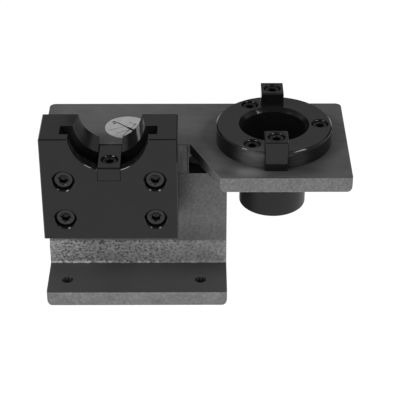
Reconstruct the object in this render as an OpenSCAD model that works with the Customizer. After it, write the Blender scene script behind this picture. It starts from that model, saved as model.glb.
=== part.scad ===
/* [Base] */
// Width of the base plate and of the upright wall
base_w = 128.7; // [122:0.2:140]
// Depth of the base plate, front to back
base_d = 97.4; // [90:0.2:110]
// Thickness of the base plate
base_t = 11; // [9:0.5:16]
// Distance between the bench bolt holes, left to right
bolt_span_x = 96; // [90:1:104]
// Distance between the bench bolt holes, front to back
bolt_span_y = 65; // [60:1:72]
// Diameter of each bench bolt hole
bolt_hole_d = 8.4; // [5:0.2:10]

/* [Wall and top plate] */
// Thickness of the upright wall
wall_t = 20; // [16:1:24]
// Height of the top plate's upper face above the bench
plate_top = 110.9; // [108:0.2:116]
// Thickness of the top plate
plate_t = 10.6; // [9:0.2:14]
// How far the top plate reaches past the right side of the wall
plate_overhang = 83.8; // [80:0.2:95]
// How far the wide part of the top plate stands in front of the wall
plate_front = 46.8; // [44:0.2:52]
// Radius of the upright corners at the back
corner_r = 4.4; // [2:0.2:6]
// Radius of the upright corners at the front
front_corner_r = 2.4; // [1:0.2:4]
// Radius of the cast lower edges
edge_r = 4; // [1:0.2:5]
// Radius of the inside corners behind the wall
fillet_r = 8; // [4:1:12]

/* [Horizontal block] */
// Width of the block
block_w = 93.4; // [90:0.2:100]
// Height of the block
block_h = 80; // [76:0.1:84]
// Depth of the block, from the wall to its front face
block_d = 35.8; // [34:0.2:40]
// Height of the block's lower face above the bench
block_z = 55; // [50:0.5:60]
// Height of the tool axis above the bench
cradle_z = 137.5; // [136:0.1:139]
// Radius of the opening in the front lip
lip_r = 27.3; // [26:0.1:29]
// Thickness of the front lip
lip_t = 7.2; // [6:0.1:9]
// Radius of the groove that clears the holder's flange
groove_r = 33.3; // [32.5:0.1:35]
// Width of the flange groove along the tool axis
groove_t = 11.6; // [11:0.1:13]
// Radius of the rear seat where it meets the groove
seat_front_r = 24.6; // [24:0.1:25.5]
// Radius of the rear seat at the wall
seat_rear_r = 22.1; // [21.5:0.1:23]

/* [Taper sleeve] */
// Outer diameter of the flange ring
ring_d = 80.6; // [78:0.2:90]
// Thickness of the flange ring
ring_t = 12.6; // [11:0.1:16]
// Outer diameter of the sleeve's tube
tube_d = 47; // [46:0.1:50]
// Length of the sleeve, from its top face to its lower end
sleeve_len = 62; // [55:0.5:66]
// Gauge diameter of the tapered bore
gauge_d = 44.45; // [44:0.05:45]
// Distance from the sleeve's axis to the right edge of the top plate
ring_inset = 51.3; // [46:0.1:54]

/* [Keys and screws] */
// Width of a drive key
key_w = 15.9; // [14:0.1:16]
// Length of a drive key on the ring
key_l = 17; // [15:0.1:18]
// Distance from the sleeve's axis to the inner face of a drive key
key_gap = 26.5; // [25.8:0.1:27]
// How far a drive key stands above the flange ring
key_rise = 9.4; // [6:0.1:10]
// Pitch circle diameter of the screws in the flange ring
ring_pcd = 64; // [62:0.5:66]
// Distance between the block screws, left to right
screw_span_x = 62.6; // [58:0.2:66]
// Distance between the block screws, up and down
screw_span_z = 30.5; // [28:0.5:33]

/* [Hidden] */
$fn = 96;
slack = 0.05;          // gap around a piece that drops into a recess
through = 1;           // how far a cutter runs past the face it cuts

// The origin is the centre of the bench bolt pattern, on the underside of the base.
base_left = -61.7;
base_right = base_left + base_w;
wall_y = -wall_t / 2;
plate_right = base_right + plate_overhang;
plate_front_y = wall_y - plate_front;
plate_low = plate_top - plate_t;
// Top plate: where its slanting edge leaves the wall, and where it meets the front edge
slant_in_x = base_left + 102.6;
slant_out_x = base_left + 123.4;

// Rough band left unmachined at the foot of the wall
band_h = 16.2;
band_t = 0.8;
// Pocket under the top plate, open to the right
pocket_x = base_left + 101.6;
pocket_z = 86.7;
pocket_d = 14;

// Horizontal block
block_x = base_left + 1;
block_y = wall_y - block_d;
block_top = block_z + block_h;
cradle_x = block_x + block_w / 2;
groove_y = block_y + lip_t;
seat_y = groove_y + groove_t;
screw_z = block_z + 31.8;
edge_c = 0.7;
block_key_top = 112.6;
block_key_low = 102.4;
block_key_l = 31.4;
key_c = 0.4;
key_front_c = 0.9;
block_key_screw_y = block_y + 11.9;

// Taper sleeve
ring_x = plate_right - ring_inset;
ring_y = -3.8;
ring_top = plate_top + ring_t;
sleeve_low = ring_top - sleeve_len;
taper_per_mm = 7 / 24;
key_top = ring_top + key_rise;
key_screw_r = key_gap + key_l / 2;

// Label
label_x = -4.2;
label_y = 13.5;
label_d = 31;
label_t = 0.25;

// Socket-head screws: [thread, head diameter, head height, hexagon, counterbore, its chamfer]
M6 = [6, 10, 6, 5, 10.8, 0.8];
M8 = [8, 13, 8, 6, 15, 0.7];
m6_sink = 7;
m8_sink = 10.2;
hex_depth = 0.5;
block_screw_len = 40;
block_hole_depth = 16.5;
ring_screw_len = 13;
ring_key_screw_len = 22;
block_key_screw_len = 14;

function slot_angle(i) = i * 120;
function screw_x(i) = cradle_x + (i % 2 == 0 ? -1 : 1) * screw_span_x / 2;
function screw_height(i) = screw_z + (i < 2 ? 1 : -1) * screw_span_z / 2;

// ---- Shared shapes ----

// A rectangle with its four corners cut off by c
module cut_rectangle(w, h, c)
    polygon([[c, 0], [w - c, 0], [w, c], [w, h - c], [w - c, h], [c, h], [0, h - c], [0, c]]);

// A box with all twelve edges chamfered by c, its low corner at the origin
module chamfered_box(size, c)
    intersection() {
        linear_extrude(size.z) cut_rectangle(size.x, size.y, c);
        translate([0, size.y, 0]) rotate([90, 0, 0]) linear_extrude(size.y) cut_rectangle(size.x, size.z, c);
        rotate([90, 0, 90]) linear_extrude(size.x) cut_rectangle(size.y, size.z, c);
    }

// What rounding a square corner takes away: the corner is at "at" and the solid lies towards "inward"
module corner_cut(at, inward, r)
    translate([at.x, at.y])
        difference() {
            translate([inward.x * (r - through) / 2, inward.y * (r - through) / 2])
                square(r + through, center = true);
            translate([inward.x * r, inward.y * r]) circle(r);
        }

// What rounding a lower edge takes away: the edge runs from a to b, with the solid on its left
module lower_edge_cut(a, b, z, r) {
    run = b - a;
    translate([a.x, a.y, z])
        rotate([0, 0, atan2(run.y, run.x)])
            translate([-through, 0, 0])
                rotate([90, 0, 90])
                    linear_extrude(norm(run) + 2 * through) corner_cut([0, 0], [1, 1], r);
}

// Inside fillet along X: the corner line starts at the origin and fills towards +Y and +Z
module fillet_bar(length, r)
    rotate([90, 0, 90])
        linear_extrude(length)
            difference() {
                square(r);
                translate([r, r]) circle(r);
            }

// Socket-head screw hanging down from the origin, with the top of its head at z = 0
module socket_screw(size, length) {
    thread_r = size[0] / 2;
    head_r = size[1] / 2;
    head_h = size[2];
    rim = 0.06 * size[1];
    difference() {
        rotate_extrude()
            polygon([[0, 0], [head_r - rim, 0], [head_r, -rim], [head_r, -head_h], [thread_r, -head_h],
                     [thread_r, 1 - head_h - length], [thread_r - 1, -head_h - length],
                     [0, -head_h - length]]);
        translate([0, 0, -hex_depth * size[0]])
            cylinder(h = hex_depth * size[0] + through, d = size[3] / cos(30), $fn = 6);
    }
}

// Screw hole going down from the origin: counterbore of the given depth, then a clearance hole
module counterbored_hole(size, sink, length) {
    mouth = size[5];
    translate([0, 0, -sink]) cylinder(h = sink + through, d = size[4]);
    translate([0, 0, -mouth]) cylinder(h = mouth + slack, d1 = size[4], d2 = size[4] + 2 * (mouth + slack));
    translate([0, 0, -length]) cylinder(h = length, d = size[0] + 0.6);
}

// Threaded hole going down from the origin
module tapped_hole(size, depth)
    translate([0, 0, -depth]) cylinder(h = depth + through, d = size[0] + 2 * slack);

// Puts a shape drawn along Z at a block screw's place, with +Z pointing out of the block's front
module at_block_screw(i, y)
    translate([screw_x(i), y, screw_height(i)]) rotate([90, 0, 0]) children();

// Puts a shape at a ring screw's place, at height z
module at_ring_screw(i, z)
    translate([ring_x, ring_y, z]) rotate([0, 0, slot_angle(i)]) translate([ring_pcd / 2, 0, 0]) children();

// Puts a shape drawn at the middle of the front key at either key's place
module at_ring_key(side)
    translate([ring_x, ring_y + side * key_screw_r, 0]) children();

// ---- Bracket ----

module base_plate() {
    back_y = base_d / 2;
    difference() {
        linear_extrude(base_t)
            difference() {
                translate([base_left, -back_y]) square([base_w, base_d]);
                corner_cut([base_left, -back_y], [1, 1], front_corner_r);
                corner_cut([base_right, -back_y], [-1, 1], front_corner_r);
                corner_cut([base_left, back_y], [1, -1], corner_r);
                corner_cut([base_right, back_y], [-1, -1], corner_r);
            }
        lower_edge_cut([base_right, -back_y], [base_right, back_y], 0, edge_r);
        lower_edge_cut([base_left, back_y], [base_left, -back_y], 0, edge_r);
        for (x = [-0.5, 0.5], y = [-0.5, 0.5])
            translate([x * bolt_span_x, y * bolt_span_y, -through])
                cylinder(h = base_t + 2 * through, d = bolt_hole_d);
    }
}

module top_plate() {
    back_y = base_d / 2;
    slant_in = [slant_in_x, wall_y];
    slant_out = [slant_out_x, plate_front_y];
    front_right = [plate_right, plate_front_y];
    back_right = [plate_right, back_y];
    back_left = [base_left, back_y];
    difference() {
        translate([0, 0, plate_low]) linear_extrude(plate_t)
            difference() {
                polygon([[base_left, wall_y], slant_in, slant_out, front_right, back_right, back_left]);
                corner_cut(front_right, [-1, 1], front_corner_r);
                corner_cut(back_right, [-1, -1], corner_r);
                corner_cut(back_left, [1, -1], corner_r);
            }
        lower_edge_cut(slant_in, slant_out, plate_low, edge_r);
        lower_edge_cut(front_right, back_right, plate_low, edge_r);
        lower_edge_cut(back_right, back_left, plate_low, edge_r);
    }
}

module wall() {
    back_y = wall_y + wall_t;
    difference() {
        union() {
            translate([base_left, wall_y, base_t]) cube([base_w, wall_t, plate_low - base_t + edge_r]);
            translate([base_left, wall_y - band_t, base_t]) cube([base_w, band_t + through, band_h]);
        }
        translate([pocket_x, wall_y - through, pocket_z])
            cube([base_w, pocket_d + through, plate_low - pocket_z + 2 * edge_r]);
    }
    translate([base_left, back_y, base_t]) fillet_bar(base_w, fillet_r);
    translate([base_right, back_y, plate_low]) rotate([0, 180, 0]) fillet_bar(base_w, fillet_r);
}

module bracket()
    color("dimgray")
        difference() {
            union() {
                base_plate();
                wall();
                top_plate();
            }
            for (i = [0:3]) at_block_screw(i, wall_y) tapped_hole(M8, block_hole_depth);
            translate([ring_x, ring_y, plate_low - through])
                cylinder(h = plate_t + 2 * through, d = tube_d + 0.4);
            for (i = [0:2]) at_ring_screw(i, plate_top) tapped_hole(M6, plate_t + through);
            for (side = [-1, 1])
                at_ring_key(side) translate([0, 0, plate_top]) tapped_hole(M6, plate_t + through);
        }

// ---- Horizontal block ----

// The space for the holder: front lip, flange groove, tapered rear seat
module cradle_cut() {
    lip_c = 0.5;
    translate([cradle_x, block_y, cradle_z])
        rotate([-90, 0, 0]) {
            translate([0, 0, -through]) cylinder(h = lip_t + 2 * through, r = lip_r);
            translate([0, 0, -slack]) cylinder(h = lip_c + slack, r1 = lip_r + lip_c, r2 = lip_r);
            translate([0, 0, lip_t]) cylinder(h = groove_t, r = groove_r);
            translate([0, 0, lip_t + groove_t - slack])
                cylinder(h = block_d - lip_t - groove_t + slack, r1 = seat_front_r, r2 = seat_rear_r);
            translate([0, 0, block_d - slack]) cylinder(h = through, r = seat_rear_r);
        }
}

module horizontal_block()
    color("#2b2b2b")
        difference() {
            translate([block_x, block_y, block_z]) chamfered_box([block_w, block_d, block_h], edge_c);
            cradle_cut();
            translate([cradle_x - key_w / 2 - slack, block_y - through, block_key_low])
                cube([key_w + 2 * slack, block_d + 2 * through, block_h]);
            for (i = [0:3]) at_block_screw(i, block_y) counterbored_hole(M8, m8_sink, block_d + through);
            translate([cradle_x, block_key_screw_y, block_key_low]) tapped_hole(M6, block_key_screw_len);
        }

module block_key()
    color("#303030")
        difference() {
            translate([cradle_x - key_w / 2, block_y, block_key_low])
                chamfered_box([key_w, block_key_l, block_key_top - block_key_low], key_c);
            translate([cradle_x, block_y, block_key_top])
                rotate([45, 0, 0])
                    cube([key_w + through, key_front_c * sqrt(2), key_front_c * sqrt(2)], center = true);
            translate([cradle_x, block_key_screw_y, block_key_top])
                counterbored_hole(M6, m6_sink, block_h);
        }

module block_key_screw()
    color("#252525")
        translate([cradle_x, block_key_screw_y, block_key_top - m6_sink + M6[2]])
            socket_screw(M6, block_key_screw_len);

module block_screw(i)
    color("#252525")
        at_block_screw(i, block_y + m8_sink - M8[2]) socket_screw(M8, block_screw_len);

module block_screw_1() { block_screw(0); }
module block_screw_2() { block_screw(1); }
module block_screw_3() { block_screw(2); }
module block_screw_4() { block_screw(3); }

// ---- Taper sleeve ----

module taper_sleeve() {
    rim_c = 0.9;
    mouth_c = 2.3;
    mouth_depth = mouth_c / (1 - taper_per_mm / 2);
    low_c = 0.6;
    line_t = 0.25;
    line_z = ring_top - 1.8;
    gauge_r = gauge_d / 2;
    end_r = gauge_r - taper_per_mm / 2 * sleeve_len;
    tube_r = tube_d / 2;
    color("#2b2b2b")
        difference() {
            translate([ring_x, ring_y, 0])
                rotate_extrude()
                    polygon([[gauge_r + mouth_c, ring_top], [ring_d / 2 - rim_c, ring_top],
                             [ring_d / 2, ring_top - rim_c], [ring_d / 2, line_z + line_t],
                             [ring_d / 2 - line_t, line_z], [ring_d / 2, line_z - line_t],
                             [ring_d / 2, plate_top], [tube_r, plate_top],
                             [tube_r, sleeve_low + low_c], [tube_r - low_c, sleeve_low],
                             [end_r, sleeve_low],
                             [gauge_r + mouth_c - mouth_depth, ring_top - mouth_depth]]);
            for (side = [-1, 1])
                at_ring_key(side)
                    translate([-key_w / 2 - slack, -key_l / 2 - slack, plate_top - through])
                        cube([key_w + 2 * slack, key_l + 2 * slack, ring_t + 2 * through]);
            for (i = [0:2]) at_ring_screw(i, ring_top) counterbored_hole(M6, m6_sink, ring_t + through);
        }
}

module ring_key(side)
    color("#303030")
        difference() {
            at_ring_key(side)
                translate([-key_w / 2, -key_l / 2, plate_top])
                    chamfered_box([key_w, key_l, key_top - plate_top], 0.6);
            at_ring_key(side) translate([0, 0, key_top]) counterbored_hole(M6, m6_sink, key_top);
        }

module ring_key_screw(side)
    color("#252525")
        at_ring_key(side)
            translate([0, 0, key_top - m6_sink + M6[2]]) socket_screw(M6, ring_key_screw_len);

module front_key() { ring_key(-1); }
module rear_key() { ring_key(1); }
module front_key_screw() { ring_key_screw(-1); }
module rear_key_screw() { ring_key_screw(1); }

module ring_screw(i)
    color("#252525")
        at_ring_screw(i, ring_top - m6_sink + M6[2]) socket_screw(M6, ring_screw_len);

module ring_screw_1() { ring_screw(0); }
module ring_screw_2() { ring_screw(1); }
module ring_screw_3() { ring_screw(2); }

// ---- Label ----

module label_disc()
    color("silver") translate([label_x, label_y, plate_top]) cylinder(h = label_t, d = label_d);

bracket();
horizontal_block();
block_key();
block_key_screw();
block_screw_1();
block_screw_2();
block_screw_3();
block_screw_4();
taper_sleeve();
front_key();
rear_key();
front_key_screw();
rear_key_screw();
ring_screw_1();
ring_screw_2();
ring_screw_3();
label_disc();
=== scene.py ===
"""Tool-holder tightening fixture: looks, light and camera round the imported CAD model."""

import math

import bpy
import bmesh
from mathutils import Matrix, Vector, noise as field


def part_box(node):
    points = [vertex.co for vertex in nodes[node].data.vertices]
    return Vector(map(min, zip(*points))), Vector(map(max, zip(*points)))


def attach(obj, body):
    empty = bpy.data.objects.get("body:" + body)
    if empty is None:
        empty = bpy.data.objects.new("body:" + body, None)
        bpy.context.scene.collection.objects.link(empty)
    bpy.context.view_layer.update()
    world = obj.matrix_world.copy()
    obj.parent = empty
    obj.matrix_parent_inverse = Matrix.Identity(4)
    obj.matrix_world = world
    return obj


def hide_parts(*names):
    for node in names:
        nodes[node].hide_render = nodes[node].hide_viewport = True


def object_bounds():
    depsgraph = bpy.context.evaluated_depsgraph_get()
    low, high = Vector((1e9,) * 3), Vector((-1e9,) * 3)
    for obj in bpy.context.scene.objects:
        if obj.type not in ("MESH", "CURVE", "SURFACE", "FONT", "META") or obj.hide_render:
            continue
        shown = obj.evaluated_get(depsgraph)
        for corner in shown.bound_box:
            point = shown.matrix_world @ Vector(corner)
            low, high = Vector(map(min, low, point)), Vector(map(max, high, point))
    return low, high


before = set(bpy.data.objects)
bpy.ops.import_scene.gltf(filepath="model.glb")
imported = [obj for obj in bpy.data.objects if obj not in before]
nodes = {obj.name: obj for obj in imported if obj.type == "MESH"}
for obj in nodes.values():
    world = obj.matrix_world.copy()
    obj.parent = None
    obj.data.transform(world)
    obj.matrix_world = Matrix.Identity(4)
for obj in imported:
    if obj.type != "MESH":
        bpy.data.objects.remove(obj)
cad_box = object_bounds()

MM = 0.001

# ---- Places on the object, in the frame's metres ----

BASE_RIGHT = 67 * MM
BASE_TOP = 11 * MM
BOLT_SPAN_X = 96 * MM
BOLT_SPAN_Y = 65 * MM
WALL_FACE_Y = -10 * MM
# The rough band at the foot of the wall: its upper edge, and how far it stands out
BAND_TOP = BASE_TOP + 16.2 * MM
BAND_THICK = 0.8 * MM
POCKET_FLOOR = 86.7 * MM
PLATE_TOP = 110.9 * MM
# The block's cradle: the height of its axis, and the opening and thickness of its front lip
CRADLE_AXIS_Z = 137.5 * MM
LIP_RADIUS = 27.3 * MM
LIP_THICK = 7.2 * MM
# The plate's slanted side goes this far to the right while it comes this far forward
SLANT_RIGHT = 20.8 * MM
SLANT_FORWARD = 46.8 * MM

# ---- Camera and light ----

# Solved from the photo's straight edges: the tilt is in degrees, the lens in millimetres
CAMERA_PLACE = Vector((48.45, -880.6, 614.7)) * MM
CAMERA_TILT = (57.707, 0.082, -0.0725)
CAMERA_LENS = 129.6
CAMERA_SHIFT_X = -0.0034
FLOOR_SIZE = 6.0
FLOOR_GLOW = 0.97
FLOOR_GREY = 0.12
FLOOR_DROP = 0.2 * MM
CARD_GREY = 0.02
CARD_DROP = 0.1 * MM
CARD_INSET = 2 * MM

# Grey of the studio against the sine of the height above the horizon, before and behind the object
SKY_FRONT = [(0.0, 1.0), (0.06, 0.92), (0.35, 0.58), (0.53, 0.43), (0.8, 0.16), (1.0, 0.12)]
SKY_BACK = [(0.0, 0.06), (0.36, 0.05), (0.46, 0.40), (0.56, 0.52), (0.8, 0.22), (1.0, 0.12)]

# name: (azimuth and elevation in degrees, distance, width and height in metres, power in watts)
SOFTBOXES = {
    "softbox_left": (-57, 44, 1.5, 0.62, 0.32, 6),
    "softbox_right": (57, 44, 1.5, 0.62, 0.32, 5),
}


def link(thing):
    bpy.context.scene.collection.objects.link(thing)


def make_camera():
    data = bpy.data.cameras.new("camera")
    data.lens = CAMERA_LENS
    data.sensor_width = 36.0
    data.shift_x = CAMERA_SHIFT_X
    camera = bpy.data.objects.new("camera", data)
    camera.location = CAMERA_PLACE
    camera.rotation_euler = [math.radians(a) for a in CAMERA_TILT]
    link(camera)
    bpy.context.scene.camera = camera


def make_softbox(name, azimuth, elevation, distance, width, height, power):
    """An area light that looks at the object; azimuth 0 is in front, positive to the right."""
    data = bpy.data.lights.new(name, "AREA")
    data.shape = "RECTANGLE"
    data.size = width
    data.size_y = height
    data.energy = power
    light = bpy.data.objects.new(name, data)
    a, e = math.radians(azimuth), math.radians(elevation)
    away = Vector((math.sin(a) * math.cos(e), -math.cos(a) * math.cos(e), math.sin(e)))
    light.location = (cad_box[0] + cad_box[1]) / 2 + away * distance
    light.rotation_mode = "QUATERNION"
    light.rotation_quaternion = (-away).to_track_quat("-Z", "Y")
    link(light)


def make_world():
    """A bright studio in front of the object; behind it a dark wall under a paler band."""
    world = bpy.data.worlds.new("studio")
    world.use_nodes = True
    tree = world.node_tree
    tree.nodes.clear()
    out = tree.nodes.new("ShaderNodeOutputWorld")
    sky = tree.nodes.new("ShaderNodeBackground")
    split = tree.nodes.new("ShaderNodeSeparateXYZ")
    place = tree.nodes.new("ShaderNodeTexCoord")
    tree.links.new(place.outputs["Generated"], split.inputs[0])
    # The back takes over in the first 30 degrees behind the object's sides
    behind = math_node(tree, "MULTIPLY", split.outputs["Y"], 1 / math.sin(math.radians(30)), clamp=True)
    front_grey = ramp(tree, split.outputs["Z"], SKY_FRONT)
    back_grey = ramp(tree, split.outputs["Z"], SKY_BACK)
    tree.links.new(mix(tree, behind, front_grey, back_grey), sky.inputs["Color"])
    tree.links.new(sky.outputs[0], out.inputs[0])
    bpy.context.scene.world = world


def make_floor():
    """Plain pale paper, just clear of the underside of the base."""
    half = FLOOR_SIZE / 2
    corners = [(-half, -half, 0), (half, -half, 0), (half, half, 0), (-half, half, 0)]
    mesh = new_mesh("floor", corners, [(0, 1, 2, 3)])
    floor = bpy.data.objects.new("floor", mesh)
    floor.location.z = cad_box[0].z - FLOOR_DROP
    link(floor)
    material, tree, shader = new_material("floor_paper")
    shader.inputs["Base Color"].default_value = grey(FLOOR_GREY)
    shader.inputs["Roughness"].default_value = 1.0
    shader.inputs["Specular IOR Level"].default_value = 0.0
    shader.inputs["Emission Color"].default_value = grey(1)
    shader.inputs["Emission Strength"].default_value = FLOOR_GLOW
    mesh.materials.append(material)


def make_shadow_card():
    """The floor under the base lies in its shadow, so no light comes up through the bolt holes."""
    low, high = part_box("bracket")
    left, right = low.x + CARD_INSET, BASE_RIGHT - CARD_INSET
    # The base reaches as far to the front as to the back
    front, back = CARD_INSET - high.y, high.y - CARD_INSET
    z = cad_box[0].z - CARD_DROP
    corners = [(left, front, z), (right, front, z), (right, back, z), (left, back, z)]
    mesh = new_mesh("shadow_card", corners, [(0, 1, 2, 3)])
    card = bpy.data.objects.new("shadow_card", mesh)
    link(card)
    material, tree, shader = new_material("floor_in_shadow")
    shader.inputs["Base Color"].default_value = grey(CARD_GREY)
    shader.inputs["Roughness"].default_value = 1.0
    mesh.materials.append(material)


# ---- Node helpers ----

def grey(value):
    return (value, value, value, 1)


def new_material(name):
    material = bpy.data.materials.new(name)
    material.use_nodes = True
    tree = material.node_tree
    return material, tree, tree.nodes["Principled BSDF"]


def position(tree, stretch=(1, 1, 1), centre=(0, 0, 0)):
    """Object coordinates in metres, moved to a centre and stretched."""
    place = tree.nodes.new("ShaderNodeTexCoord")
    mapping = tree.nodes.new("ShaderNodeMapping")
    mapping.vector_type = "POINT"
    mapping.inputs["Location"].default_value = [-c * s for c, s in zip(centre, stretch)]
    mapping.inputs["Scale"].default_value = stretch
    tree.links.new(place.outputs["Object"], mapping.inputs["Vector"])
    return mapping.outputs[0]


def noise(tree, scale, detail=3.0, rough=0.55, stretch=(1, 1, 1)):
    """A noise texture in object space; scale is in features per metre."""
    tex = tree.nodes.new("ShaderNodeTexNoise")
    tex.inputs["Scale"].default_value = scale
    tex.inputs["Detail"].default_value = detail
    tex.inputs["Roughness"].default_value = rough
    tree.links.new(position(tree, stretch), tex.inputs["Vector"])
    return tex.outputs["Fac"]


def ramp(tree, source, stops):
    """Maps a 0..1 value through grey stops [(position, grey), ...]."""
    node = tree.nodes.new("ShaderNodeValToRGB")
    elements = node.color_ramp.elements
    while len(elements) < len(stops):
        elements.new(0.5)
    for element, (place, value) in zip(elements, stops):
        element.position = place
        element.color = grey(value)
    tree.links.new(source, node.inputs[0])
    return node.outputs[0]


def feed(tree, sockets, values):
    """Gives each socket its value, which is a number or another node's socket."""
    for socket, value in zip(sockets, values):
        if isinstance(value, (int, float)):
            socket.default_value = value
        else:
            tree.links.new(value, socket)


def math_node(tree, operation, a, b=0.0, clamp=False):
    """A Math node on sockets or numbers."""
    node = tree.nodes.new("ShaderNodeMath")
    node.operation = operation
    node.use_clamp = clamp
    feed(tree, node.inputs, (a, b))
    return node.outputs[0]


def mix(tree, factor, a, b):
    """Blends two values or greys, a where factor is 0 and b where it is 1."""
    node = tree.nodes.new("ShaderNodeMix")
    node.data_type = "FLOAT"
    feed(tree, (node.inputs[0], node.inputs[2], node.inputs[3]), (factor, a, b))
    return node.outputs[0]


def product(tree, first, *others):
    for other in others:
        first = math_node(tree, "MULTIPLY", first, other)
    return first


def lift(tree, value, factor, amount):
    """Raises a value by the share amount where factor is 1."""
    share = math_node(tree, "MULTIPLY", factor, amount)
    return math_node(tree, "MULTIPLY", value, math_node(tree, "ADD", share, 1.0))


def bump(tree, shader, layers):
    """Chains bump layers [(height socket, distance in metres, strength)] into the shader's normal."""
    last = None
    for height, distance, strength in layers:
        node = tree.nodes.new("ShaderNodeBump")
        node.inputs["Distance"].default_value = distance
        node.inputs["Strength"].default_value = strength
        tree.links.new(height, node.inputs["Height"])
        if last:
            tree.links.new(last, node.inputs["Normal"])
        last = node.outputs[0]
    tree.links.new(last, shader.inputs["Normal"])


def facing(tree, axis, least=0.8):
    """1 on faces whose normal lies close to the axis, 0 on the others."""
    geometry = tree.nodes.new("ShaderNodeNewGeometry")
    dot = tree.nodes.new("ShaderNodeVectorMath")
    dot.operation = "DOT_PRODUCT"
    dot.inputs[1].default_value = axis
    tree.links.new(geometry.outputs["True Normal"], dot.inputs[0])
    return math_node(tree, "GREATER_THAN", dot.outputs["Value"], least)


def progress(tree, axis, start, end):
    """0 before start and 1 after end, along the axis "X", "Y" or "Z", in metres."""
    split = tree.nodes.new("ShaderNodeSeparateXYZ")
    tree.links.new(position(tree), split.inputs[0])
    way = math_node(tree, "SUBTRACT", split.outputs[axis], start)
    return math_node(tree, "DIVIDE", way, end - start, clamp=True)


def height_mask(tree, low, high):
    """0 below the height low, 1 above high, in metres."""
    return progress(tree, "Z", low, high)


def length_mask(tree, start, end, before, after):
    """A value that goes from before to after along X, between start and end in metres."""
    return mix(tree, progress(tree, "X", start, end), before, after)


# How a spot fades, from its centre at 0 to its radii at 1
SPOT_FADE = [(0.0, 1.0), (0.3, 0.8), (0.6, 0.28), (0.8, 0.07), (1.0, 0.0)]


def spot(tree, centre, radii):
    """1 at a centre in metres, falling smoothly to 0 at the radii."""
    stretch = [1 / r for r in radii]
    length = tree.nodes.new("ShaderNodeVectorMath")
    length.operation = "LENGTH"
    tree.links.new(position(tree, stretch, centre), length.inputs[0])
    return ramp(tree, length.outputs["Value"], SPOT_FADE)


def patched(tree, tone, patches):
    """A tone lifted or lowered in patches [(centre, radii, share by which it changes)]."""
    for centre, radii, amount in patches:
        tone = lift(tree, tone, spot(tree, centre, radii), amount)
    return tone


def edge_wear_and_highlight(tree, radius, strength):
    """Near 1 along sharp edges, 0 on flat faces."""
    bevel = tree.nodes.new("ShaderNodeBevel")
    bevel.samples = 6
    bevel.inputs["Radius"].default_value = radius
    geometry = tree.nodes.new("ShaderNodeNewGeometry")
    dot = tree.nodes.new("ShaderNodeVectorMath")
    dot.operation = "DOT_PRODUCT"
    tree.links.new(bevel.outputs[0], dot.inputs[0])
    tree.links.new(geometry.outputs["Normal"], dot.inputs[1])
    turned = math_node(tree, "SUBTRACT", 1.0, dot.outputs["Value"])
    return math_node(tree, "MULTIPLY", turned, strength, clamp=True)


def occlusion_shade(tree, distance, stops):
    """Painted shade in corners: a grey that falls where other surfaces stand close by."""
    shelter = tree.nodes.new("ShaderNodeAmbientOcclusion")
    shelter.samples = 8
    shelter.inputs["Distance"].default_value = distance
    return ramp(tree, shelter.outputs["AO"], stops)


# ---- Materials ----

def mm(*lengths):
    """Lengths in millimetres, turned into the frame's metres."""
    return tuple(length * MM for length in lengths)


def on_plate(x, y):
    """A place on the top plate, from millimetres."""
    return (x * MM, y * MM, PLATE_TOP)


def on_wall(x, z):
    """A place on the wall's front face, from millimetres."""
    return (x * MM, WALL_FACE_Y, z * MM)


# Patches on the top plate: a painted reflection of light in front of the flange ring, then three darker
# patches, the last behind the block: (centre, radii, share by which the tone changes)
PLATE_SHEEN_AND_PATCHES = [
    (on_plate(81, -48.5), mm(19, 12, 8), 1.1),
    (on_plate(66, -49), mm(13, 9, 8), -0.35),
    (on_plate(120, -46), mm(24, 12, 8), -0.36),
    (on_plate(-14, -3), mm(40, 18, 8), -0.38),
]
# Painted shade on the wall: a darker patch below the block, then beside the block, under the plate's right
# part and at the back of the pocket; the last is painted light on the base top along the foot of the wall
WALL_SHADE_AND_LIGHT = [
    (on_wall(47, 38), mm(26, 8, 20), -0.16),
    (on_wall(34, 76), mm(15, 6, 30), -0.42),
    (on_wall(60, 82), mm(22, 6, 18), -0.18),
    (mm(52, 4, 96), mm(30, 9, 14), -0.95),
    (mm(-10, -12, 11), mm(70, 18, 5), 0.5),
]
# A painted reflection of light on the flange ring's front-left side, and a fainter one to its right: (centre,
# radii, grey that it adds)
RING_SHEEN = [
    (mm(83, -41, 116), mm(22, 16, 16), 0.10),
    (mm(114, -42, 116), mm(14, 14, 14), 0.030),
]
# The block's left seat, stained dull: centre and radii
DULL_SEAT = (mm(-37, -19, 126), mm(16, 26, 22))
# The insides of the bolt holes are dark with painted shade
HOLE_SHADE_REACH = mm(14, 14, 16)
BOLT_HOLES = [(x * BOLT_SPAN_X / 2, y * BOLT_SPAN_Y / 2, 5 * MM) for x in (-1, 1) for y in (-1, 1)]
# The way the plate's slanted side faces, which takes painted shade beside the wall
SLANT_NORMAL = Vector((-SLANT_FORWARD, -SLANT_RIGHT, 0)).normalized()

SKIN_GREY = 0.158
BASE_GREY = 0.074
BARE_STEEL_GREY = 0.055
# Roughness of raw cast iron against a noise
CAST_ROUGH = [(0.3, 0.50), (0.7, 0.68)]
# How tool marks stretch a noise: round an upright axis, and upright
ROUND_MARKS = (0.03, 0.03, 1)
UPRIGHT_MARKS = (1, 1, 0.03)


def milled_tone(tree, upper):
    """Milled iron with a fine speckle, dull on the base and smeared on the top plate, which darkens towards
    the right and carries a painted reflection and darker patches.
    """
    speckle = ramp(tree, noise(tree, 1100, 2), [(0.3, 0.93), (0.7, 1.07)])
    cloud = ramp(tree, noise(tree, 22, 3), [(0.3, 0.92), (0.7, 1.08)])
    smear = ramp(tree, noise(tree, 160, 4, 0.6, (0.4, 1, 1)), [(0.3, 0.88), (0.7, 1.12)])
    # The top plate darkens towards the right
    rightward_darkening = length_mask(tree, 5 * MM, 75 * MM, 0.138, 0.100)
    plate = product(tree, patched(tree, rightward_darkening, PLATE_SHEEN_AND_PATCHES), smear)
    return product(tree, mix(tree, upper, BASE_GREY, plate), speckle, cloud)


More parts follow.
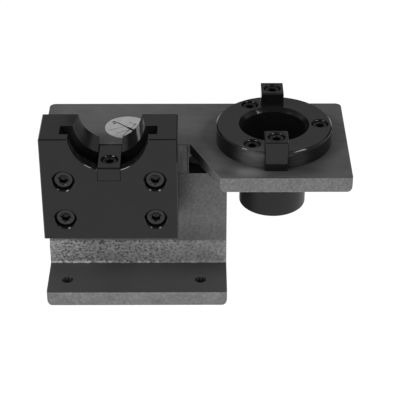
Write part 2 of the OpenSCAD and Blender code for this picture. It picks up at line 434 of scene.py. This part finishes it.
def skin_tone(tree):
    """Mottled cast skin, a little paler round the base, with painted shade on the slanted side beside the
    wall.
    """
    blotch = ramp(tree, noise(tree, 75, 3), [(0.3, 0.872), (0.7, 1.096)])
    mottle = ramp(tree, noise(tree, 420, 4, 0.65), [(0.32, 0.792), (0.5, 1.0), (0.68, 1.256)])
    grain = ramp(tree, noise(tree, 1000, 3, 0.6), [(0.33, 0.76), (0.66, 1.224)])
    foot = mix(tree, height_mask(tree, BASE_TOP, BASE_TOP + 2 * MM), 1.12, 0.93)
    tone = product(tree, mottle, grain, blotch, foot, SKIN_GREY)
    # Painted shade on the slanted side, strongest where it meets the wall
    slant_shade_beside_wall = length_mask(tree, 47 * MM, 60 * MM, 0.95, 0.1)
    return lift(tree, tone, product(tree, facing(tree, SLANT_NORMAL, 0.96), slant_shade_beside_wall), -1.0)


def painted_corner_shade(tree, upper):
    """Painted shade in the corners, stronger on the upper half, and dark in narrow gaps."""
    low = occlusion_shade(tree, 26 * MM, [(0.0, 0.40), (0.45, 0.82), (0.8, 1.0)])
    high = occlusion_shade(tree, 26 * MM, [(0.0, 0.10), (0.45, 0.62), (0.8, 1.0)])
    gap = occlusion_shade(tree, 5 * MM, [(0.12, 0.10), (0.45, 1.0)])
    return product(tree, mix(tree, upper, low, high), gap)


def casting_material():
    """Grey iron: milled on the faces that look up, cast skin elsewhere, with painted shade in its corners,
    paler along its edges as wear and as a painted highlight.
    """
    material, tree, shader = new_material("cast_iron_grey")
    milled = facing(tree, (0, 0, 1))
    upright = math_node(tree, "SUBTRACT", 1.0, milled)
    upper = height_mask(tree, 60 * MM, 90 * MM)
    face = mix(tree, milled, skin_tone(tree), milled_tone(tree, upper))
    # Painted shade in corners and gaps, then the wall's patches of painted shade and light
    face = patched(tree, product(tree, face, painted_corner_shade(tree, upper)), WALL_SHADE_AND_LIGHT)
    # Paler along the edges: partly wear, partly a painted highlight
    face = lift(tree, face, edge_wear_and_highlight(tree, 0.6 * MM, 4.0), 1.4)
    # Painted shade inside the bolt holes
    for hole in BOLT_HOLES:
        inside = product(tree, spot(tree, hole, HOLE_SHADE_REACH), upright)
        face = lift(tree, face, inside, -1.1)
    tree.links.new(face, shader.inputs["Base Color"])
    cast_rough = ramp(tree, noise(tree, 500, 3), CAST_ROUGH)
    milled_rough = ramp(tree, noise(tree, 160, 4), [(0.3, 0.40), (0.7, 0.52)])
    tree.links.new(mix(tree, milled, cast_rough, milled_rough), shader.inputs["Roughness"])
    skin = math_node(tree, "MULTIPLY", noise(tree, 430, 4, 0.6), upright)
    bump(tree, shader, [(skin, 0.5 * MM, 0.5), (noise(tree, 1500, 2), 0.08 * MM, 0.35)])
    return material


def cast_band_material():
    """Raw cast skin: pale, full of small dark pits, with a painted highlight along the foot, broken up and
    brighter to the left.
    """
    material, tree, shader = new_material("cast_skin")
    flat_pits = (0.75, 1, 1)
    pits = ramp(tree, noise(tree, 620, 3, 0.6, flat_pits), [(0.38, 0.07), (0.48, 0.30), (0.66, 0.42)])
    pits = mix(tree, length_mask(tree, 18 * MM, 52 * MM, 0.0, 0.55), pits, 0.27)
    blotch = ramp(tree, noise(tree, 110, 3), [(0.3, 0.82), (0.7, 1.15)])
    above_foot = height_mask(tree, BASE_TOP + 1.3 * MM, BASE_TOP + 2.4 * MM)
    foot = math_node(tree, "SUBTRACT", 1.0, above_foot)
    # Painted highlight along the foot, broken up and brighter to the left
    foot_breaks = ramp(tree, noise(tree, 180, 3), [(0.4, 0.1), (0.6, 1.0)])
    bright = product(tree, foot, foot_breaks, length_mask(tree, -50 * MM, 30 * MM, 2.2, 0.8))
    tree.links.new(lift(tree, product(tree, pits, blotch), bright, 1.0), shader.inputs["Base Color"])
    tree.links.new(ramp(tree, noise(tree, 500, 3), CAST_ROUGH), shader.inputs["Roughness"])
    bump(tree, shader, [(noise(tree, 620, 4, 0.6, flat_pits), 0.7 * MM, 0.6)])
    return material


def oxide_tone(tree):
    return ramp(tree, noise(tree, 60, 4), [(0.3, 0.0058), (0.7, 0.0082)])


def oxide_rough(tree):
    return ramp(tree, noise(tree, 120, 4), [(0.3, 0.07), (0.7, 0.13)])


def finish_oxide(tree, shader, tone, rough, worn):
    """Sets a black oxide's tone, broken to bare steel where it is worn, and its polish."""
    broken = ramp(tree, noise(tree, 300, 3), [(0.35, 0.0), (0.65, 1.0)])
    bare = math_node(tree, "MULTIPLY", worn, broken)
    tree.links.new(mix(tree, bare, tone, BARE_STEEL_GREY), shader.inputs["Base Color"])
    tree.links.new(rough, shader.inputs["Roughness"])
    shader.inputs["IOR"].default_value = 1.38


def black_steel_material():
    """Black oxide over ground steel, with upright grinding marks and one dull seat."""
    material, tree, shader = new_material("black_oxide")
    rough = mix(tree, spot(tree, *DULL_SEAT), oxide_rough(tree), 0.55)
    finish_oxide(tree, shader, oxide_tone(tree), rough, edge_wear_and_highlight(tree, 0.35 * MM, 4.0))
    marks = noise(tree, 900, 2, stretch=UPRIGHT_MARKS)
    bump(tree, shader, [(marks, 0.012 * MM, 0.25), (noise(tree, 700, 2), 0.03 * MM, 0.1)])
    return material


def turned_steel_material(middle):
    """Black oxide over turned steel, with rings of tool marks round the part's middle."""
    material, tree, shader = new_material("black_oxide_turned")
    bore = spot(tree, middle, mm(38, 38, 90))
    worn = product(tree, edge_wear_and_highlight(tree, 0.35 * MM, 4.0), math_node(tree, "LESS_THAN", bore, 0.2))
    # Painted light: faces that look up are a little lighter
    tone = math_node(tree, "ADD", oxide_tone(tree), product(tree, facing(tree, (0, 0, 1)), 0.0035))
    streaks = ramp(tree, noise(tree, 900, 3, 0.6, ROUND_MARKS), [(0.35, 0.5), (0.65, 1.2)])
    # Painted reflection of light on the ring, streaked like tool marks
    for centre, radii, amount in RING_SHEEN:
        sheen_patch = product(tree, spot(tree, centre, radii), streaks, amount)
        tone = math_node(tree, "ADD", tone, sheen_patch)
    # The tube under the plate is duller than the ring and the mouth of the bore
    rough = mix(tree, height_mask(tree, 98 * MM, 101 * MM), 0.44, oxide_rough(tree))
    finish_oxide(tree, shader, tone, rough, worn)
    rings = tree.nodes.new("ShaderNodeTexWave")
    rings.wave_type = "RINGS"
    rings.rings_direction = "Z"
    rings.inputs["Scale"].default_value = 400
    rings.inputs["Distortion"].default_value = 0.4
    tree.links.new(position(tree, centre=middle), rings.inputs["Vector"])
    lines = noise(tree, 900, 3, 0.6, ROUND_MARKS)
    bump(tree, shader, [(rings.outputs["Fac"], 0.012 * MM, 0.25), (lines, 0.03 * MM, 0.2)])
    return material


def screw_material(name, ior, dark_tone, light_tone):
    """Oiled black screw steel, with painted shade in the sockets."""
    material, tree, shader = new_material(name)
    shader.inputs["IOR"].default_value = ior
    cloud = ramp(tree, noise(tree, 400, 3), [(0.3, dark_tone), (0.7, light_tone)])
    # Painted shade in the sockets
    dark = occlusion_shade(tree, 6 * MM, [(0.35, 0.1), (0.8, 1.0)])
    tree.links.new(product(tree, cloud, dark), shader.inputs["Base Color"])
    tree.links.new(ramp(tree, noise(tree, 600, 3), [(0.3, 0.16), (0.7, 0.30)]), shader.inputs["Roughness"])
    bump(tree, shader, [(noise(tree, 2500, 2), 0.03 * MM, 0.3)])
    return material


def label_material(name, dark, light):
    """A satin surface whose grey wanders between dark and light."""
    material, tree, shader = new_material(name)
    tree.links.new(ramp(tree, noise(tree, 250, 4), [(0.3, dark), (0.7, light)]), shader.inputs["Base Color"])
    tree.links.new(ramp(tree, noise(tree, 700, 2), [(0.3, 0.42), (0.7, 0.55)]), shader.inputs["Roughness"])
    bump(tree, shader, [(noise(tree, 900, 2), 0.03 * MM, 0.2)])
    return material


def shade_film_material():
    """A dull black film that paints shade and a dark reflection."""
    material, tree, shader = new_material("black_shade_film")
    tone = ramp(tree, noise(tree, 300, 3), [(0.35, 0.002), (0.65, 0.012)])
    tree.links.new(tone, shader.inputs["Base Color"])
    tree.links.new(ramp(tree, noise(tree, 200, 3), [(0.3, 0.45), (0.7, 0.7)]), shader.inputs["Roughness"])
    shader.inputs["IOR"].default_value = 1.12
    bump(tree, shader, [(noise(tree, 500, 3), 0.04 * MM, 0.3)])
    return material


def dress(names, material):
    for name in names:
        mesh = nodes[name].data
        mesh.materials.clear()
        mesh.materials.append(material)


def soften(name, width, segments=2, least_angle=40):
    """Small real bevels on a CAD node's edges that turn by more than least_angle degrees."""
    weld = nodes[name].modifiers.new("weld", "WELD")
    weld.merge_threshold = 0.002 * MM
    bevel = nodes[name].modifiers.new("bevel", "BEVEL")
    bevel.width = width
    bevel.segments = segments
    bevel.limit_method = "ANGLE"
    bevel.angle_limit = math.radians(least_angle)
    normals = nodes[name].modifiers.new("normals", "WEIGHTED_NORMAL")
    normals.mode = "FACE_AREA"
    normals.weight = 80


# ---- Mesh helpers ----

def new_mesh(name, points, faces):
    mesh = bpy.data.meshes.new(name)
    mesh.from_pydata(points, [], faces)
    return mesh


def turn_faces_out(mesh, join=0.0):
    """Turns every face of a closed mesh outwards, after joining points nearer than join."""
    build = bmesh.new()
    build.from_mesh(mesh)
    if join:
        bmesh.ops.remove_doubles(build, verts=build.verts, dist=join)
        bmesh.ops.dissolve_degenerate(build, edges=build.edges, dist=join)
    bmesh.ops.recalc_face_normals(build, faces=build.faces)
    build.to_mesh(mesh)
    build.free()


def add_piece(name, mesh, material, smooth_angle=35):
    piece = bpy.data.objects.new(name, mesh)
    mesh.materials.append(material)
    link(piece)
    mesh.shade_smooth()
    mesh.set_sharp_from_angle(angle=math.radians(smooth_angle))
    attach(piece, "root")
    return piece


# ---- Screws ----

SCREW_SIDES = 72
# Thread, head diameter, head height and hexagon across flats
M6 = mm(6, 10, 6, 5)
M8 = mm(8, 13, 8, 6)


def ring_points(radius, z):
    step = 2 * math.pi / SCREW_SIDES
    return [Vector((radius * math.cos(i * step), radius * math.sin(i * step), z)) for i in range(SCREW_SIDES)]


def hexagon_points(across, z):
    """Points on a hexagon at the same angles as ring_points."""
    points = []
    for i in range(SCREW_SIDES):
        a = 2 * math.pi * i / SCREW_SIDES
        off = (a + math.pi / 6) % (math.pi / 3) - math.pi / 6
        r = across / 2 / math.cos(off)
        points.append(Vector((r * math.cos(a), r * math.sin(a), z)))
    return points


def knurl_points(radius, depth, z):
    """A ring whose radius alternates, as a knurled head's does."""
    points = ring_points(radius, z)
    for i in range(1, SCREW_SIDES, 2):
        shrink = 1 - depth / radius
        points[i].x *= shrink
        points[i].y *= shrink
    return points


def socket_screw_mesh(name, thread, head_d, head_h, hexagon, length):
    """Socket-head screw along -Z, top of the head at z = 0: knurled head, hexagon socket, threaded shank."""
    head_r = head_d / 2
    rim = 0.07 * head_d
    knurl = 0.18 * MM
    socket = 0.62 * thread
    mouth = hexagon / math.cos(math.pi / 6) / 2 + 0.02 * head_d
    thread_r = thread / 2
    pitch = 0.156 * thread
    root_r = thread_r - 0.55 * pitch
    tip = -head_h - length
    tip_r = thread_r - 1 * MM
    rings = [
        [Vector((0, 0, -socket - 0.12 * thread))] * SCREW_SIDES,
        hexagon_points(hexagon * 0.96, -socket),
        hexagon_points(hexagon, -0.7 * MM),
        ring_points(mouth, -0.4 * MM),
        ring_points(mouth + 0.4 * MM, 0),
        ring_points(head_r - rim, 0),
        ring_points(head_r - 0.35 * rim, -0.25 * rim),
        ring_points(head_r, -rim),
        knurl_points(head_r, knurl, -rim - 0.25 * MM),
        knurl_points(head_r, knurl, -head_h + 0.9 * MM),
        ring_points(head_r, -head_h + 0.6 * MM),
        ring_points(head_r, -head_h + 0.2 * MM),
        ring_points(head_r - 0.2 * MM, -head_h),
        ring_points(thread_r, -head_h),
    ]
    z = -head_h - pitch
    while z > tip + 2 * pitch:
        rings += [ring_points(thread_r, z), ring_points(root_r, z - pitch / 2)]
        z -= pitch
    rings += [ring_points(thread_r, z), ring_points(tip_r, tip), [Vector((0, 0, tip))] * SCREW_SIDES]
    faces = []
    for k in range(len(rings) - 1):
        for i in range(SCREW_SIDES):
            j = (i + 1) % SCREW_SIDES
            a, b = k * SCREW_SIDES, (k + 1) * SCREW_SIDES
            faces.append((a + i, b + i, b + j, a + j))
    mesh = new_mesh(name, [p for ring in rings for p in ring], faces)
    turn_faces_out(mesh, 0.0005 * MM)
    return mesh


def make_screw(node, size, out, turn, material):
    """Replaces a CAD screw, whose head looks along the axis out, turned about it by turn degrees."""
    low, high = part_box(node)
    middle = (low + high) / 2
    axis = Vector(out)
    whole = (high - low).dot(Vector([abs(c) for c in axis]))
    top = middle + axis * whole / 2
    head_h = size[2]
    mesh = socket_screw_mesh(node + "_detail", *size, whole - head_h)
    place = Matrix.Translation(top) @ axis.to_track_quat("Z", "Y").to_matrix().to_4x4()
    mesh.transform(place @ Matrix.Rotation(math.radians(turn), 4, "Z"))
    piece = add_piece(node + "_detail", mesh, material)
    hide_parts(node)


# ---- Other pieces ----

def make_cast_band(material):
    """The rough as-cast skin left along the foot of the wall, in front of the CAD's plain band."""
    left, right = cad_box[0].x + 0.3 * MM, BASE_RIGHT - 0.3 * MM
    highest = 30.0 * MM
    step = 0.45 * MM
    columns, rows = int((right - left) / step), int((highest - BASE_TOP) / step)
    points, faces = [], []
    for r in range(rows + 1):
        for c in range(columns + 1):
            x = left + (right - left) * c / columns
            # The upper edge wanders by about a millimetre
            wave = field.noise(Vector((x, 7, 0)) / (9 * MM)) + 0.5 * field.noise(Vector((x, 9, 0)) / (3 * MM))
            upper = highest + wave * 1.2 * MM
            z = BASE_TOP + (upper - BASE_TOP) * r / rows
            # 0 at the upper edge, and 1 from the upper edge of the CAD's band down
            rise = min(1.0, (upper - z) / (upper - BAND_TOP))
            place = Vector((x, 0, z))
            lumps = 0.30 * field.noise(place / (5 * MM)) + 0.38 * field.noise(place / (2.1 * MM))
            grain = lumps + 0.20 * field.noise(place / (1.1 * MM))
            side = max(0.0, min(1.0, (x - left) / MM, (right - x) / MM))
            proud = max(0.08, 0.55 + grain) * MM * min(1.0, rise * 2.5) * (0.2 + 0.8 * side)
            under = WALL_FACE_Y - BAND_THICK * rise
            points.append((x, under - 0.02 * MM - proud, z))
    for r in range(rows):
        for c in range(columns):
            a = r * (columns + 1) + c
            faces.append((a, a + 1, a + columns + 2, a + columns + 1))
    add_piece("cast_band", new_mesh("cast_band", points, faces), material, 180)


def make_label_lines(material):
    """Thin printed rules on the sticker, a generic pattern with no lettering."""
    low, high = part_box("label_disc")
    centre = (low + high) / 2
    radius = (high.x - low.x) / 2
    above = 0.03 * MM
    reach = 0.96
    # rules: (angle in degrees, distance from the centre and width in mm, start and end along the chord)
    rules = [(-45, -0.1, 1.0, -0.65, 0.96), (-45, 0.1, 2.0, 0.05, 0.7), (-42, 6.5, 0.45, -0.3, 0.9),
             (64, -3.5, 0.45, -0.9, 0.5), (27, 1.5, 0.4, -0.9, 0.1), (27, -4.5, 0.4, -0.7, 0.4),
             (40, 9.8, 1.3, -0.40, -0.10), (40, 12.2, 1.3, -0.42, -0.12)]
    points, faces = [], []
    for angle, offset, width, start, end in rules:
        a = math.radians(angle)
        along, across = Vector((math.cos(a), math.sin(a), 0)), Vector((-math.sin(a), math.cos(a), 0))
        middle = Vector((centre.x, centre.y, high.z + above)) + across * offset * MM
        half = math.sqrt(radius ** 2 - (offset * MM) ** 2) * reach
        first = len(points)
        for u, v in ((start, -1), (end, -1), (end, 1), (start, 1)):
            points.append(middle + along * u * half + across * v * width * MM / 2)
        faces.append((first, first + 1, first + 2, first + 3))
    add_piece("label_rules", new_mesh("label_rules", points, faces), material)


def make_shade_lines(material):
    """Thin dark lines on the wall beside the block: painted shade along the plate's edge, the pocket's floor
    and the pocket's side.
    """
    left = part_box("horizontal_block")[1].x + 0.2 * MM
    face_y = WALL_FACE_Y - 0.03 * MM
    top_z, low_z = PLATE_TOP - 0.4 * MM, POCKET_FLOOR - 0.1 * MM
    across, up = Vector((1, 0, 0)), Vector((0, 0, 1))
    # shade lines: (x and z of the start, direction, length, width)
    shade_lines = [(left, top_z, across, 39.6 * MM - left, 0.6 * MM),
             (left, low_z, across, 41 * MM - left, 0.4 * MM),
             (39.1 * MM, low_z + 0.4 * MM, up, 23 * MM, 0.9 * MM)]
    points, faces = [], []
    steps = 24
    for x, z, run, length, width in shade_lines:
        side = Vector((run.z, 0, run.x)) * width / 2
        first = len(points)
        for k in range(steps + 1):
            middle = Vector((x, face_y, z)) + run * length * k / steps
            middle += side * field.noise(middle / (3 * MM)) * 0.3
            points += [middle - side, middle + side]
        for k in range(steps):
            a = first + 2 * k
            faces.append((a, a + 2, a + 3, a + 1))
    add_piece("edge_shade_lines", new_mesh("edge_shade_lines", points, faces), material)


def make_lip_shade_film(material):
    """Dull black film on the inside of the block's front lip, on both sides of the key: painted shade and a
    painted dark reflection.
    """
    block_low, block_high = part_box("horizontal_block")
    key_low, key_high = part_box("block_key")
    axis_x = (key_low.x + key_high.x) / 2
    outer, film = LIP_RADIUS - 0.02 * MM, 0.08 * MM
    front, back = block_low.y + 0.55 * MM, block_low.y + LIP_THICK - 0.05 * MM
    start = math.asin((key_high.x - axis_x + 0.1 * MM) / outer)
    end = math.acos((CRADLE_AXIS_Z - block_high.z + 0.5 * MM) / outer)
    steps = 40
    points, faces = [], []
    for side in (-1, 1):
        first = len(points)
        for k in range(steps + 1):
            a = side * (start + (end - start) * k / steps)
            for r, y in ((outer, front), (outer, back), (outer - film, back), (outer - film, front)):
                points.append((axis_x + r * math.sin(a), y, CRADLE_AXIS_Z - r * math.cos(a)))
        for k in range(steps):
            for i in range(4):
                a, b = first + 4 * k + i, first + 4 * k + (i + 1) % 4
                faces.append((a, b, b + 4, a + 4))
        last = first + 4 * steps
        faces += [(first + 3, first + 2, first + 1, first), (last, last + 1, last + 2, last + 3)]
    mesh = new_mesh("lip_shade_film", points, faces)
    turn_faces_out(mesh)
    add_piece("lip_shade_film", mesh, material)


# ---- The scene ----

bpy.context.scene.view_settings.view_transform = "Standard"
make_camera()
make_world()
make_floor()
make_shadow_card()
for softbox, facts in SOFTBOXES.items():
    make_softbox(softbox, *facts)

sleeve_low, sleeve_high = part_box("taper_sleeve")
dress(["bracket"], casting_material())
dress(["horizontal_block", "block_key", "front_key", "rear_key"], black_steel_material())
dress(["taper_sleeve"], turned_steel_material(tuple((sleeve_low + sleeve_high) / 2)))
dress(["label_disc"], label_material("silver_sticker", 0.50, 0.60))

soften("bracket", 0.5 * MM)
soften("horizontal_block", 0.2 * MM)
soften("taper_sleeve", 0.15 * MM, 1, 25)
for key in ("block_key", "front_key", "rear_key"):
    soften(key, 0.4 * MM, 3)

screws = screw_material("screw_black", 1.45, 0.008, 0.015)
deep_screws = screw_material("screw_black_oily", 1.30, 0.006, 0.030)
# Each screw's socket stands at its own angle, in degrees
for i, turn in enumerate((10, 37, 22, 51), 1):
    make_screw("block_screw_%d" % i, M8, (0, -1, 0), turn, screws)
for i, turn in enumerate((5, 41, 18), 1):
    make_screw("ring_screw_%d" % i, M6, (0, 0, 1), turn, deep_screws)
for node, turn in (("block_key_screw", 12), ("front_key_screw", 33), ("rear_key_screw", 2)):
    make_screw(node, M6, (0, 0, 1), turn, deep_screws)
make_cast_band(cast_band_material())
make_label_lines(label_material("printed_grey", 0.012, 0.03))
make_shade_lines(label_material("edge_shade_grey", 0.010, 0.022))
make_lip_shade_film(shade_film_material())
